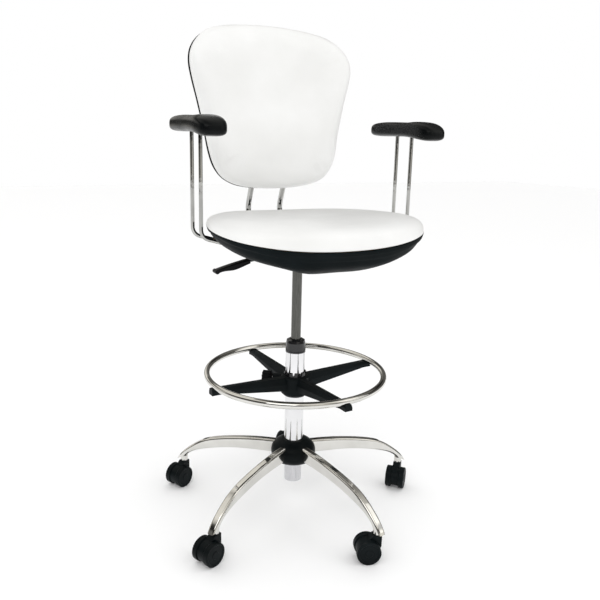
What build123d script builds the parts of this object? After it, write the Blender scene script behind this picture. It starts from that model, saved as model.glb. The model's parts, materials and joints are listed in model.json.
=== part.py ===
from build123d import *
import os
from math import copysign, cos, radians, sin

os.makedirs("parts", exist_ok=True)

# Drafting chair with a raised gas-lift column, a foot ring and fixed arms.
# Millimetres. The origin is on the floor under the column, +Z is up,
# the front of the seat faces -Y and +X is the sitter's left.

# ---- Driving dimensions -------------------------------------------------

# Five-leg base
LEG_COUNT = 5
FIRST_LEG_ANGLE = -5.7
STEM_CIRCLE_R = 355.0
LEG_WIDTH = 24.0
LEG_WALL = 2.2
LEG_ROOT_R = 36.0
LEG_TOP = [(36, 191), (120, 187), (185, 179), (235, 170), (285, 155), (330, 127.5), (361, 100), (376, 78)]
LEG_BOTTOM = [(339, 99), (322, 111), (296, 121.5), (261, 131), (187, 144.5), (120, 149.5), (36, 152)]
CAVITY_END_R = 318.0
SOCKET_R = 11.0
SOCKET_BOTTOM_Z = 75.0
SOCKET_TOP_Z = 90.0
STEM_BORE_TOP_Z = 97.0
HUB_BOTTOM_Z = 140.0
HUB_TOP_Z = 203.0
HUB_SEAT_Z = 198.0
HUB_BOLT_CIRCLE_R = 44.0
HUB_BOLT_R = 4.0
HUB_BOLT_TOP_Z = 160.0
BOLT_HEAD_R = 6.5
BOLT_HEAD_TOP_Z = 146.0
BOLT_HEAD_SINK = 0.5

# Twin-wheel casters
CASTER_HEADINGS = [-133.8, -140.0, -150.3, -155.9, -199.5]
WHEEL_R = 32.0
TRAIL = 24.0
WHEEL_INNER = 12.0
WHEEL_OUTER = 28.0
HOOD_HALF = 11.2
HOOD_R = 29.0
HOOD_TOP_Z = 73.0
AXLE_R = 3.0
STEM_R = 5.5
RUNNING_GAP = 0.05

# Column and gas spring
TUBE_R = 25.0
TUBE_BORE_R = 23.0
TUBE_BOTTOM_Z = 74.0
TUBE_TOP_Z = 500.0
SLEEVE_R = 27.5
SLEEVE_BOTTOM_Z = 198.1
SLEEVE_TOP_Z = 471.0
CYLINDER_R = 14.0
CYLINDER_BORE_R = 12.0
CYLINDER_BOTTOM_Z = 300.0
CYLINDER_TOP_Z = 742.0
ROD_R = 5.0
PISTON_Z = 385.0
BEARING_Z = 85.0

# Foot ring
RING_R = 253.4
RING_TUBE_R = 9.25
RING_Z = 409.0
SPOKE_COUNT = 4
FIRST_SPOKE_ANGLE = 5.5
SPIDER_R = 40.0
SPIDER_BORE_R = 31.6
SPIDER_BOTTOM_Z = 344.0
SPIDER_TOP_Z = 400.0
LINER_R = 31.55
LINER_BORE_R = 27.55
KNOB_ANGLE = 140.0
KNOB_Z = 386.0
KNOB_R = 17.0
STUD_R = 4.0

# Seat
SEAT_HALF_WIDTH = 280.0
SEAT_HALF_DEPTH = 236.8
SEAT_CENTRE_Y = -44.6
OUTLINE_STEPS = 24
SEAT_POWER = 2.5
SEAT_TAPER = 0.24
SEAM_Z = 832.7
SEAM_RISE = 0.042
SEAM_SADDLE = 18.2
SEAM_FRONT_DROP = 13.0
SHELL_WALL = 3.5
BOARD_THICKNESS = 12.0
SOFT_GAP = 0.3

# Seat fittings
PLATE_Z = 811.0
PLATE_THICKNESS = 3.0
LEVER_PIVOT = (-38.0, 0.0, 752.0)
LEVER_ROD_R = 4.0
ARM_ROD_R = 5.0
ARM_X = 304.5
ARM_REAR_Y = -8.0
ARM_FRONT_Y = -77.0
ARM_MIDDLE_Y = (ARM_REAR_Y + ARM_FRONT_Y) / 2
ARM_INNER_Z = 799.0
ARM_ROD_TOP_Z = 1080.0
POST_R = 8.0
POST_X = 52.0
POST_Z = 813.5
BRACKET_BOTTOM_Z = 790.0
STRAP_Z = 802.0
SCREW_R = 3.0
BOLT_HEAD_HEIGHT = 4.0

# Backrest
BACK_BOTTOM_Z = 921.0
BACK_TOP_Z = 1386.0
BACK_BOTTOM_Y = 190.0
BACK_LEAN = 60.0
BACK_WRAP = 40.0
BACK_REF_X = 250.0
BACK_CUSHION_THICKNESS = 46.0
BACK_BOARD_THICKNESS = 10.0
BACK_SHELL_DEPTH = 15.0


# ---- Shared helpers -----------------------------------------------------

def finish(piece, name):
    piece.part.label = name
    export_step(piece.part, f"parts/{name}.step")


def direction(angle):
    return Vector(cos(radians(angle)), sin(radians(angle)), 0)


def radial_plane(angle, origin=(0, 0, 0)):
    """Upright plane: local x runs outward along angle, local y is up."""
    outward = direction(angle)
    return Plane(origin=origin, x_dir=outward, z_dir=(outward.Y, -outward.X, 0))


def cross_plane(angle, radius):
    """Upright plane square to a radius: local x is tangential, local y is up."""
    outward = direction(angle)
    return Plane(origin=outward * radius, x_dir=(-outward.Y, outward.X, 0), z_dir=outward)


def ring_solid(inner_r, outer_r, bottom, top, centre=(0, 0)):
    """Plain tube standing on the plane z = bottom."""
    with BuildPart() as tube:
        with BuildSketch(Plane.XY.offset(bottom)):
            with Locations(centre):
                Circle(outer_r)
                if inner_r > 0:
                    Circle(inner_r, mode=Mode.SUBTRACT)
        extrude(amount=top - bottom)
    return tube


def turned(points, plane, axis):
    """Solid of revolution from a closed outline."""
    with BuildPart() as body:
        with BuildSketch(plane):
            with BuildLine():
                Polyline(*points, close=True)
            make_face()
        revolve(axis=axis)
    return body


def seam_z(x, y):
    """Height of the seam surface, where the cushion meets the shell."""
    front = min(y, 0) / SEAT_HALF_DEPTH
    side = x / SEAT_HALF_WIDTH
    return SEAM_Z + SEAM_RISE * y + SEAM_SADDLE * side**2 - SEAM_FRONT_DROP * front**2


def seat_outline(across_scale, front_scale, rear_scale, inset=0.0):
    """Points round the seat's plan: a tapered superellipse, scaled about its centre."""
    points = []
    for step in range(OUTLINE_STEPS):
        turn = radians(360 / OUTLINE_STEPS * step)
        across = copysign(abs(cos(turn)) ** (2 / SEAT_POWER), cos(turn))
        along = copysign(abs(sin(turn)) ** (2 / SEAT_POWER), sin(turn))
        depth_scale = rear_scale if along > 0 else front_scale
        x = (SEAT_HALF_WIDTH * across_scale - inset) * across * (1 - SEAT_TAPER * along)
        y = (SEAT_HALF_DEPTH * depth_scale - inset) * along + SEAT_CENTRE_Y
        points.append((x, y))
    return points


def seat_loft(levels, inset=0.0):
    """Solid through seat outlines; a level is its height, three plan scales."""
    with BuildPart() as body:
        for height, *outline in levels:
            with BuildSketch(Plane.XY.offset(height)):
                with BuildLine():
                    Spline(*seat_outline(*outline, inset), periodic=True)
                make_face()
        loft()
    return body


def seam_block(lower, upper):
    """Block over the whole seat between two offsets of the seam surface."""
    reach = 330.0
    with BuildPart() as block:
        for y in (230, 120, 0, -110, -210, -310):
            with BuildSketch(Plane(origin=(0, y, 0), x_dir=(1, 0, 0), z_dir=(0, -1, 0))):
                with BuildLine():
                    low = [(x, seam_z(x, y) + lower) for x in (-reach, 0, reach)]
                    high = [(x, seam_z(x, y) + upper) for x in (reach, 0, -reach)]
                    ThreePointArc(*low)
                    Line(low[-1], high[0])
                    ThreePointArc(*high)
                    Line(high[-1], low[0])
                make_face()
        loft()
    return block


# ---- Base ---------------------------------------------------------------

leg_angles = [FIRST_LEG_ANGLE + 360 / LEG_COUNT * i for i in range(LEG_COUNT)]


def leg_blank(angle):
    """Outer form of a swan-neck leg before it is hollowed."""
    with BuildPart() as blank:
        with BuildSketch(radial_plane(angle)):
            with BuildLine():
                Spline(*LEG_TOP)
                Line(LEG_TOP[-1], LEG_BOTTOM[0])
                Spline(*LEG_BOTTOM)
                Line(LEG_BOTTOM[-1], LEG_TOP[0])
            make_face()
        extrude(amount=LEG_WIDTH / 2, both=True)
        fillet(blank.edges().filter_by(GeomType.BSPLINE), 6.5)
    return blank


blanks = [leg_blank(angle) for angle in leg_angles]

for number, (angle, blank) in enumerate(zip(leg_angles, blanks), start=1):
    stem = direction(angle) * STEM_CIRCLE_R
    inner_top = [(r, z - LEG_WALL) for r, z in LEG_TOP if r < CAVITY_END_R]
    inner_bottom = [(r, z + LEG_WALL) for r, z in LEG_BOTTOM if r < CAVITY_END_R]
    with BuildPart() as leg:
        add(blank.part)
        with BuildSketch(Plane.XY.offset(SOCKET_BOTTOM_Z)):
            with Locations((stem.X, stem.Y)):
                Circle(SOCKET_R)
        extrude(amount=SOCKET_TOP_Z - SOCKET_BOTTOM_Z)
        with BuildSketch(radial_plane(angle)):
            with BuildLine():
                Spline(*inner_top)
                Line(inner_top[-1], inner_bottom[0])
                Spline(*inner_bottom)
                Line(inner_bottom[-1], inner_top[0])
            make_face()
        extrude(amount=LEG_WIDTH / 2 - LEG_WALL, both=True, mode=Mode.SUBTRACT)
        with BuildSketch(Plane.XY.offset(SOCKET_BOTTOM_Z)):
            with Locations((stem.X, stem.Y)):
                Circle(STEM_R + RUNNING_GAP)
        extrude(amount=STEM_BORE_TOP_Z - SOCKET_BOTTOM_Z, mode=Mode.SUBTRACT)
        with BuildSketch(Plane.XY.offset(HUB_BOTTOM_Z)):
            with Locations(direction(angle) * HUB_BOLT_CIRCLE_R):
                Circle(HUB_BOLT_R)
        extrude(amount=HUB_BOLT_TOP_Z - HUB_BOTTOM_Z, mode=Mode.SUBTRACT)
    finish(leg, f"base_leg_{number}")

with BuildPart() as base_hub:
    with BuildSketch(Plane.XZ):
        with BuildLine():
            Line((TUBE_R, HUB_SEAT_Z), (TUBE_R, HUB_BOTTOM_Z))
            Line((TUBE_R, HUB_BOTTOM_Z), (53, HUB_BOTTOM_Z))
            Spline((53, HUB_BOTTOM_Z), (63, 152), (65.5, 166), (62, 182), (48, 196), (32, HUB_TOP_Z))
            Line((32, HUB_TOP_Z), (SLEEVE_R + RUNNING_GAP, HUB_TOP_Z))
            Line((SLEEVE_R + RUNNING_GAP, HUB_TOP_Z), (SLEEVE_R + RUNNING_GAP, HUB_SEAT_Z))
            Line((SLEEVE_R + RUNNING_GAP, HUB_SEAT_Z), (TUBE_R, HUB_SEAT_Z))
        make_face()
    revolve(axis=Axis.Z)
    for blank in blanks:
        add(blank.part, mode=Mode.SUBTRACT)
    with BuildSketch(Plane.XY.offset(HUB_BOTTOM_Z)):
        with PolarLocations(HUB_BOLT_CIRCLE_R, LEG_COUNT, FIRST_LEG_ANGLE):
            Circle(BOLT_HEAD_R + 0.4)
    extrude(amount=BOLT_HEAD_TOP_Z - HUB_BOTTOM_Z, mode=Mode.SUBTRACT)
    with BuildSketch(Plane.XY.offset(HUB_BOTTOM_Z)):
        with PolarLocations(HUB_BOLT_CIRCLE_R, LEG_COUNT, FIRST_LEG_ANGLE):
            Circle(HUB_BOLT_R)
    extrude(amount=HUB_BOLT_TOP_Z - HUB_BOTTOM_Z, mode=Mode.SUBTRACT)
finish(base_hub, "base_hub")

with BuildPart() as hub_bolts:
    with BuildSketch(Plane.XY.offset(HUB_BOTTOM_Z + BOLT_HEAD_SINK)):
        with PolarLocations(HUB_BOLT_CIRCLE_R, LEG_COUNT, FIRST_LEG_ANGLE):
            RegularPolygon(BOLT_HEAD_R, 6)
    extrude(amount=BOLT_HEAD_TOP_Z - HUB_BOTTOM_Z - BOLT_HEAD_SINK)
    with BuildSketch(Plane.XY.offset(BOLT_HEAD_TOP_Z)):
        with PolarLocations(HUB_BOLT_CIRCLE_R, LEG_COUNT, FIRST_LEG_ANGLE):
            Circle(HUB_BOLT_R)
    extrude(amount=HUB_BOLT_TOP_Z - BOLT_HEAD_TOP_Z)
finish(hub_bolts, "hub_bolts")

# ---- Casters ------------------------------------------------------------

WHEEL_OUTLINE = [
    (WHEEL_INNER, AXLE_R + RUNNING_GAP),
    (WHEEL_INNER, 30.5),
    (13.5, WHEEL_R),
    (26.5, WHEEL_R),
    (WHEEL_OUTER, 30.5),
    (WHEEL_OUTER, 26.0),
    (26.6, 24.5),
    (26.6, 11.0),
    (WHEEL_OUTER, 9.5),
    (WHEEL_OUTER, 0),
    (24.2, 0),
    (24.2, AXLE_R + RUNNING_GAP),
]

for number, (angle, heading) in enumerate(zip(leg_angles, CASTER_HEADINGS), start=1):
    foot = direction(angle) * STEM_CIRCLE_R
    trail_plane = radial_plane(heading, foot)
    axle_dir = trail_plane.z_dir
    wheel_centre = foot + direction(heading) * TRAIL + Vector(0, 0, WHEEL_R)

    with BuildPart() as hood:
        with BuildSketch(trail_plane):
            with Locations((TRAIL, WHEEL_R)):
                Circle(HOOD_R)
            with BuildLine():
                Polyline((-11, HOOD_TOP_Z), (11, HOOD_TOP_Z), (24, 60), (30, 30), (-2, 22), (-11, 44), close=True)
            make_face()
            with Locations((TRAIL, 0)):
                Rectangle(80, 28, mode=Mode.SUBTRACT)
        extrude(amount=HOOD_HALF, both=True)
        with BuildSketch(trail_plane.offset(-HOOD_HALF - 1)):
            with Locations((TRAIL, WHEEL_R)):
                Circle(AXLE_R)
        extrude(amount=2 * HOOD_HALF + 2, mode=Mode.SUBTRACT)
        with BuildSketch(Plane.XY.offset(HOOD_TOP_Z)):
            with Locations((foot.X, foot.Y)):
                Circle(STEM_R)
        extrude(amount=-20, mode=Mode.SUBTRACT)
    finish(hood, f"caster_{number}_hood")

    with BuildPart() as pins:
        with BuildSketch(Plane.XY.offset(HOOD_TOP_Z - 20)):
            with Locations((foot.X, foot.Y)):
                Circle(STEM_R)
        extrude(amount=STEM_BORE_TOP_Z - 1 - HOOD_TOP_Z + 20)
        with BuildSketch(Plane.XY.offset(HOOD_TOP_Z)):
            with Locations((foot.X, foot.Y)):
                Circle(8.5)
        extrude(amount=1.6)
        with BuildSketch(trail_plane.offset(-24)):
            with Locations((TRAIL, WHEEL_R)):
                Circle(AXLE_R)
        extrude(amount=48)
    finish(pins, f"caster_{number}_pins")

    for side_name, side in (("left", 1), ("right", -1)):
        outward = axle_dir * side
        section = Plane(origin=wheel_centre, x_dir=outward, z_dir=outward.cross(Vector(0, 0, 1)))
        wheel = turned(WHEEL_OUTLINE, section, Axis(wheel_centre, outward))
        finish(wheel, f"caster_{number}_wheel_{side_name}")

# ---- Column and gas spring ----------------------------------------------

FLOOR_BOTTOM_Z = 80.0

tube_outline = [
    (TUBE_R, TUBE_BOTTOM_Z),
    (TUBE_R, TUBE_TOP_Z),
    (TUBE_BORE_R, TUBE_TOP_Z),
    (TUBE_BORE_R, BEARING_Z),
    (ROD_R + RUNNING_GAP, BEARING_Z),
    (ROD_R + RUNNING_GAP, FLOOR_BOTTOM_Z),
    (TUBE_BORE_R, FLOOR_BOTTOM_Z),
    (TUBE_BORE_R, TUBE_BOTTOM_Z),
]
finish(turned(tube_outline, Plane.XZ, Axis.Z), "column_tube")
finish(ring_solid(TUBE_R + RUNNING_GAP, SLEEVE_R, SLEEVE_BOTTOM_Z, SLEEVE_TOP_Z), "column_sleeve")

collar_outline = [
    (TUBE_R + RUNNING_GAP, SLEEVE_TOP_Z),
    (28.8, SLEEVE_TOP_Z),
    (28.8, 477),
    (27.6, 499),
    (26.0, 506),
    (20.0, 509),
    (15.0, 509),
    (15.0, 504.5),
    (TUBE_R + RUNNING_GAP, 504.5),
]
finish(turned(collar_outline, Plane.XZ, Axis.Z), "column_collar")

bush_outline = [
    (CYLINDER_R + RUNNING_GAP, 420),
    (TUBE_BORE_R, 420),
    (TUBE_BORE_R, TUBE_TOP_Z),
    (TUBE_R - 0.5, TUBE_TOP_Z),
    (TUBE_R - 0.5, 504),
    (CYLINDER_R + RUNNING_GAP, 504),
]
finish(turned(bush_outline, Plane.XZ, Axis.Z), "guide_bush")
finish(ring_solid(ROD_R + RUNNING_GAP, 16, BEARING_Z, 95), "thrust_bearing")

GROOVE_R = 4.2

rod_outline = [
    (0, 76),
    (ROD_R, 76),
    (ROD_R, 77),
    (GROOVE_R, 77),
    (GROOVE_R, 78.6),
    (ROD_R, 78.6),
    (ROD_R, 95.2),
    (9, 95.2),
    (9, 99),
    (ROD_R, 99),
    (ROD_R, PISTON_Z - 8),
    (CYLINDER_BORE_R - RUNNING_GAP, PISTON_Z - 8),
    (CYLINDER_BORE_R - RUNNING_GAP, PISTON_Z + 8),
    (0, PISTON_Z + 8),
]
finish(turned(rod_outline, Plane.XZ, Axis.Z), "piston_rod")
finish(ring_solid(GROOVE_R, 9, 77, 78.6), "rod_clip")

PIN_R = 4.0
PIN_BORE_DEPTH = 16.0

cylinder_outline = [
    (CYLINDER_BORE_R, CYLINDER_BOTTOM_Z),
    (CYLINDER_R, CYLINDER_BOTTOM_Z),
    (CYLINDER_R, CYLINDER_TOP_Z - 1),
    (CYLINDER_R - 1, CYLINDER_TOP_Z),
    (PIN_R + RUNNING_GAP, CYLINDER_TOP_Z),
    (PIN_R + RUNNING_GAP, CYLINDER_TOP_Z - PIN_BORE_DEPTH),
    (0, CYLINDER_TOP_Z - PIN_BORE_DEPTH),
    (0, CYLINDER_TOP_Z - PIN_BORE_DEPTH - 12),
    (CYLINDER_BORE_R, CYLINDER_TOP_Z - PIN_BORE_DEPTH - 12),
]
finish(turned(cylinder_outline, Plane.XZ, Axis.Z), "gas_cylinder")
guide_r = ROD_R + RUNNING_GAP
GUIDE_LENGTH = 15.0
finish(ring_solid(guide_r, CYLINDER_BORE_R, CYLINDER_BOTTOM_Z, CYLINDER_BOTTOM_Z + GUIDE_LENGTH), "rod_guide")
finish(ring_solid(0, PIN_R, CYLINDER_TOP_Z - 11, CYLINDER_TOP_Z + 3.8), "release_pin")

# ---- Foot ring ----------------------------------------------------------

spoke_angles = [FIRST_SPOKE_ANGLE + 360 / SPOKE_COUNT * i for i in range(SPOKE_COUNT)]

with BuildPart() as footring_ring:
    with BuildSketch(Plane.XZ):
        with Locations((RING_R, RING_Z)):
            Circle(RING_TUBE_R)
            Circle(RING_TUBE_R - 1.5, mode=Mode.SUBTRACT)
    revolve(axis=Axis.Z)
finish(footring_ring, "footring_ring")

SPOKE_ROOT_R = 34.0
SPOKE_TIP_R = 240.0
SPOKE_END_R = 266.0
SPOKE_ROOT = [(-17, 360), (17, 360), (17, 380), (9, 399), (-9, 399), (-17, 380)]
SPOKE_TIP = [(-11, 386), (11, 386), (11, 395), (7, 404), (-7, 404), (-11, 395)]
BOSS_R = 11.0
BOSS_END_R = 64.0

with BuildPart() as footring_spider:
    with BuildSketch(Plane.XY.offset(SPIDER_BOTTOM_Z)):
        Circle(SPIDER_R)
    extrude(amount=SPIDER_TOP_Z - SPIDER_BOTTOM_Z)
    chamfer(footring_spider.edges().filter_by(GeomType.CIRCLE), 4)
    for angle in spoke_angles:
        with BuildSketch(cross_plane(angle, SPOKE_ROOT_R)):
            with BuildLine():
                Polyline(*SPOKE_ROOT, close=True)
            make_face()
        with BuildSketch(cross_plane(angle, SPOKE_TIP_R)):
            with BuildLine():
                Polyline(*SPOKE_TIP, close=True)
            make_face()
        loft(ruled=True)
        with BuildSketch(cross_plane(angle, SPOKE_TIP_R)):
            with BuildLine():
                Polyline(*SPOKE_TIP, close=True)
            make_face()
        extrude(amount=SPOKE_END_R - SPOKE_TIP_R)
    with BuildSketch(cross_plane(KNOB_ANGLE, SPOKE_ROOT_R)):
        with Locations((0, KNOB_Z)):
            Circle(BOSS_R)
    extrude(amount=BOSS_END_R - SPOKE_ROOT_R)
    with BuildSketch(Plane.XZ):
        with Locations((RING_R, RING_Z)):
            Circle(RING_TUBE_R + RUNNING_GAP)
    revolve(axis=Axis.Z, mode=Mode.SUBTRACT)
    with BuildSketch(Plane.XY.offset(SPIDER_BOTTOM_Z - 1)):
        Circle(SPIDER_BORE_R)
    extrude(amount=SPIDER_TOP_Z - SPIDER_BOTTOM_Z + 2, mode=Mode.SUBTRACT)
    with BuildSketch(cross_plane(KNOB_ANGLE, 20)):
        with Locations((0, KNOB_Z)):
            Circle(STUD_R + RUNNING_GAP)
    extrude(amount=BOSS_END_R - 19, mode=Mode.SUBTRACT)
finish(footring_spider, "footring_spider")

LINER_BOTTOM_Z = 340.0
LINER_TOP_Z = 412.0
FINGER_COUNT = 8

with BuildPart() as footring_sleeve:
    with BuildSketch(Plane.XY.offset(LINER_BOTTOM_Z)):
        Circle(LINER_R)
        Circle(LINER_BORE_R, mode=Mode.SUBTRACT)
    extrude(amount=LINER_TOP_Z - LINER_BOTTOM_Z)
    for finger in range(FINGER_COUNT):
        with BuildSketch(cross_plane(finger * 360 / FINGER_COUNT + 10, 20)):
            with BuildLine():
                Polyline((-4, LINER_TOP_Z + 1), (0, LINER_TOP_Z - 10), (4, LINER_TOP_Z + 1), close=True)
            make_face()
        extrude(amount=20, mode=Mode.SUBTRACT)
    with BuildSketch(cross_plane(50, 20)):
        with Locations((0, (LINER_TOP_Z + LINER_BOTTOM_Z) / 2)):
            Rectangle(3, LINER_TOP_Z - LINER_BOTTOM_Z + 2)
    extrude(amount=20, mode=Mode.SUBTRACT)
finish(footring_sleeve, "footring_sleeve")

KNOB_INNER_R = 72.0
KNOB_LENGTH = 24.0
STUD_TIP_R = 32.0
RIDGE_COUNT = 10

with BuildPart() as clamp_knob:
    with BuildSketch(cross_plane(KNOB_ANGLE, KNOB_INNER_R)):
        with Locations((0, KNOB_Z)):
            Circle(KNOB_R)
            with PolarLocations(KNOB_R, RIDGE_COUNT):
                Circle(2.6, mode=Mode.SUBTRACT)
    extrude(amount=KNOB_LENGTH)
    with BuildSketch(cross_plane(KNOB_ANGLE, KNOB_INNER_R - 5)):
        with Locations((0, KNOB_Z)):
            Circle(9)
    extrude(amount=5)
    with BuildSketch(cross_plane(KNOB_ANGLE, KNOB_INNER_R - 6)):
        with Locations((0, KNOB_Z)):
            Circle(STUD_R)
    extrude(amount=22, mode=Mode.SUBTRACT)
finish(clamp_knob, "clamp_knob")

with BuildPart() as clamp_screw:
    with BuildSketch(cross_plane(KNOB_ANGLE, STUD_TIP_R)):
        with Locations((0, KNOB_Z)):
            Circle(STUD_R)
    extrude(amount=KNOB_INNER_R + 16 - STUD_TIP_R)
finish(clamp_screw, "clamp_screw")

# ---- Seat shell, board and cushion --------------------------------------

# height, then the plan scales across, to the front and to the rear
BOWL = [
    (880, 1.0, 1.0, 1.0),
    (850, 1.0, 1.0, 1.0),
    (826, 0.98, 1.0, 0.985),
    (805, 0.92, 0.99, 0.95),
    (782, 0.79, 0.95, 0.86),
    (760, 0.6, 0.85, 0.71),
    (740, 0.41, 0.69, 0.54),
    (722, 0.28, 0.48, 0.4),
]
SHELL_BOTTOM_Z = 722.0
COLUMN_HOLE_R = 24.0
RECESS_BOTTOM_Z = 785.0
RECESS_TOP_Z = 826.0
RECESS_INNER_X = 205.0
RECESS_OUTER_X = 325.0
RECESS_DEPTH = 112.0
LEVER_SLOT_X = -148.0
LEVER_SLOT_Y = -26.0

bowl_outer = seat_loft(BOWL)
bowl_inner = seat_loft([(level[0] + SHELL_WALL, *level[1:]) for level in BOWL], SHELL_WALL)
above_seam = seam_block(-SOFT_GAP, 120)

with BuildPart() as seat_shell:
    add(bowl_outer.part)
    add(bowl_inner.part, mode=Mode.SUBTRACT)
    add(above_seam.part, mode=Mode.SUBTRACT)
    with BuildSketch(Plane.XY.offset(SHELL_BOTTOM_Z - 1)):
        Circle(COLUMN_HOLE_R)
    extrude(amount=10, mode=Mode.SUBTRACT)
    # side recesses that the arm rods pass through
    recess_x = (RECESS_INNER_X + RECESS_OUTER_X) / 2
    with BuildSketch(Plane.XY.offset(RECESS_BOTTOM_Z)):
        with Locations((-recess_x, ARM_MIDDLE_Y), (recess_x, ARM_MIDDLE_Y)):
            Rectangle(RECESS_OUTER_X - RECESS_INNER_X, RECESS_DEPTH)
    extrude(amount=RECESS_TOP_Z - RECESS_BOTTOM_Z, mode=Mode.SUBTRACT)
    # two holes in the rear wall for the back posts
    with BuildSketch(Plane.XZ.offset(-100)):
        with Locations((-POST_X, POST_Z), (POST_X, POST_Z)):
            Circle(POST_R + 1)
    extrude(amount=-120, mode=Mode.SUBTRACT)
    # slot that the height lever swings in
    with BuildSketch(Plane.XY.offset(735)):
        with Locations((LEVER_SLOT_X, LEVER_SLOT_Y)):
            Rectangle(96, 36)
    extrude(amount=45, mode=Mode.SUBTRACT)
finish(seat_shell, "seat_shell")

# height and plan scale of the cushion's side, from below the seam to its crown
CUSHION_PROFILE = [(790, 1.0), (835, 1.004), (853, 0.985), (864, 0.93), (870, 0.84)]
CUSHION_INSET = 1.0
BOARD_INSET = 28.0
board_body = seam_block(-SOFT_GAP - BOARD_THICKNESS, -SOFT_GAP)
board_plan = seat_loft([(z, 1, 1, 1) for z in (760, 900)], BOARD_INSET)

# bolts that hold the fittings to the board: x, y and the level of the fitting's lower face
plate_bolts = [(x, y, PLATE_Z) for x in (-80, 80) for y in (-65, 40)]
arm_bolts = [(side * x, ARM_MIDDLE_Y, BRACKET_BOTTOM_Z) for side in (-1, 1) for x in (152, 188)]
post_bolts = [(x, y, STRAP_Z) for x in (-72, 72) for y in (88, 138)]
all_bolts = plate_bolts + arm_bolts + post_bolts

with BuildPart() as seat_board:
    add(board_body.part)
    add(board_plan.part, mode=Mode.INTERSECT)
    with BuildSketch(Plane.XY.offset(780)):
        with Locations(*[bolt[:2] for bolt in all_bolts]):
            Circle(SCREW_R)
    extrude(amount=120, mode=Mode.SUBTRACT)
finish(seat_board, "seat_board")

with BuildPart() as seat_bolts:
    for x, y, level in all_bolts:
        board_top = seam_z(x, y) - SOFT_GAP
        with BuildSketch(Plane.XY.offset(level - BOLT_HEAD_HEIGHT)):
            with Locations((x, y)):
                RegularPolygon(2 * SCREW_R, 6)
        extrude(amount=BOLT_HEAD_HEIGHT)
        with BuildSketch(Plane.XY.offset(level)):
            with Locations((x, y)):
                Circle(SCREW_R)
        extrude(amount=board_top - 2 - level)
finish(seat_bolts, "seat_bolts")

cushion_levels = [(z, scale, scale, scale) for z, scale in CUSHION_PROFILE]
cushion_form = seat_loft(cushion_levels, CUSHION_INSET)
below_seam = seam_block(-140, 0)

with BuildPart() as seat_cushion:
    add(cushion_form.part)
    add(below_seam.part, mode=Mode.SUBTRACT)
finish(seat_cushion, "seat_cushion")

# ---- Mechanism and height lever -----------------------------------------

HOUSING_HALF_Y = 20.0
HOUSING_WALL = 3.0
HOUSING_X = -3.0
HOUSING_LENGTH = 100.0
HOUSING_FLOOR_Z = 728.5
BOSS_TOP_Z = 742.5
BOSS_OUTER_R = 17.0
TRUNNION_R = 3.0

with BuildPart() as mechanism_plate:
    with BuildSketch(Plane.XY.offset(PLATE_Z)):
        with Locations((0, -12)):
            RectangleRounded(190, 130, 12)
    extrude(amount=PLATE_THICKNESS)
    with BuildSketch(Plane.XY.offset(HOUSING_FLOOR_Z)):
        with Locations((HOUSING_X, 0)):
            Rectangle(HOUSING_LENGTH, 2 * HOUSING_HALF_Y)
    extrude(amount=PLATE_Z - HOUSING_FLOOR_Z)
    with BuildSketch(Plane.XY.offset(HOUSING_FLOOR_Z + HOUSING_WALL)):
        with Locations((HOUSING_X - HOUSING_WALL, 0)):
            Rectangle(HOUSING_LENGTH, 2 * (HOUSING_HALF_Y - HOUSING_WALL))
    extrude(amount=PLATE_Z - HOUSING_FLOOR_Z - 2 * HOUSING_WALL, mode=Mode.SUBTRACT)
    with BuildSketch(Plane.XY.offset(HOUSING_FLOOR_Z)):
        Circle(BOSS_OUTER_R)
    extrude(amount=BOSS_TOP_Z - HOUSING_FLOOR_Z)
    with BuildSketch(Plane.XY.offset(HOUSING_FLOOR_Z - 1)):
        Circle(CYLINDER_R)
    extrude(amount=BOSS_TOP_Z - HOUSING_FLOOR_Z + 2, mode=Mode.SUBTRACT)
    with BuildSketch(Plane.XZ.offset(-30)):
        with Locations((LEVER_PIVOT[0], LEVER_PIVOT[2])):
            Circle(TRUNNION_R + RUNNING_GAP)
    extrude(amount=60, mode=Mode.SUBTRACT)
    with BuildSketch(Plane.XY.offset(PLATE_Z - 1)):
        with Locations(*[bolt[:2] for bolt in plate_bolts]):
            Circle(SCREW_R)
    extrude(amount=PLATE_THICKNESS + 2, mode=Mode.SUBTRACT)
finish(mechanism_plate, "mechanism_plate")

lever_route = [(3, 0, 750.6), (-72, 0, 754.5), (-170, -32, 746.8)]

with BuildPart() as lever_rod:
    with BuildLine():
        FilletPolyline(*lever_route, radius=40)
    with BuildSketch(Plane(origin=lever_route[0], z_dir=Vector(*lever_route[1]) - Vector(*lever_route[0]))):
        Circle(LEVER_ROD_R)
    sweep()
    with BuildSketch(Plane.XZ.offset(-HOUSING_HALF_Y)):
        with Locations((LEVER_PIVOT[0], LEVER_PIVOT[2])):
            Circle(TRUNNION_R)
    extrude(amount=2 * HOUSING_HALF_Y)
finish(lever_rod, "lever_rod")

HANDLE_START = Vector(-160, -32, 748.6)
HANDLE_END = Vector(-256, -32, 724.6)
HANDLE_HALF_WIDTH = 12.0
HANDLE_EDGE_R = 3.4
handle_dir = (HANDLE_END - HANDLE_START).normalized()
handle_length = (HANDLE_END - HANDLE_START).length
side_plane = Plane(origin=HANDLE_START, x_dir=handle_dir, z_dir=(0, 1, 0))

# side view of the handle: a straight back, a belly for the fingers and a slimmer tip
handle_back = [(0, 6), (45, 6.8), (handle_length - 8, 5.5)]
handle_tip = [(handle_length - 8, 5.5), (handle_length, 0), (handle_length - 8, -5)]
handle_belly = [(handle_length - 8, -5), (68, -5.4), (50, -9), (28, -8.6), (0, -5.5)]

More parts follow.
